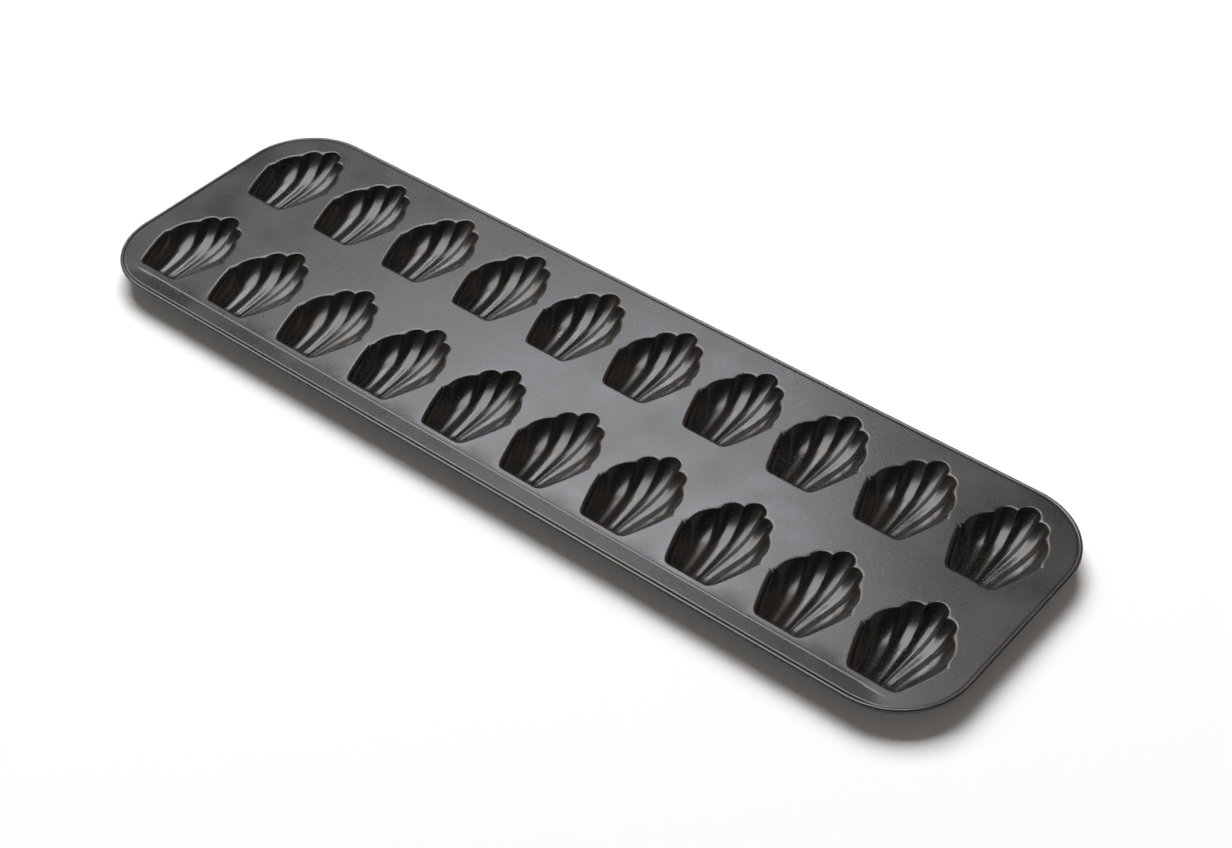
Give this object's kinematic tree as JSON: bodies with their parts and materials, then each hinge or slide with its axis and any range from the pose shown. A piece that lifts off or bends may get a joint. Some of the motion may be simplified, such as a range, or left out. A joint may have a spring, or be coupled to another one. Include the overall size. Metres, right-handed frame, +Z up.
{
  "type": "madeleine pan",
  "caption": "Flat rectangular baking sheet with two rows of fluted shell-shaped cups and a wired rolled rim.",
  "frame": {"origin": "under the middle of the pan, in the plane that the cups stand on", "axes": "+X along the long side, +Y from the cups' narrow ends to their scalloped ends, +Z up"},
  "size_m": [0.395, 0.122, 0.0104],
  "materials": {
    "coated_steel": "dark grey non-stick coating, semi-matte with a fine fleck",
    "bare_wire": "drawn steel wire"
  },
  "bodies": {
    "root": {"tray_sheet": "coated_steel", "rim_wire": "bare_wire"}
  },
  "joints": []
}
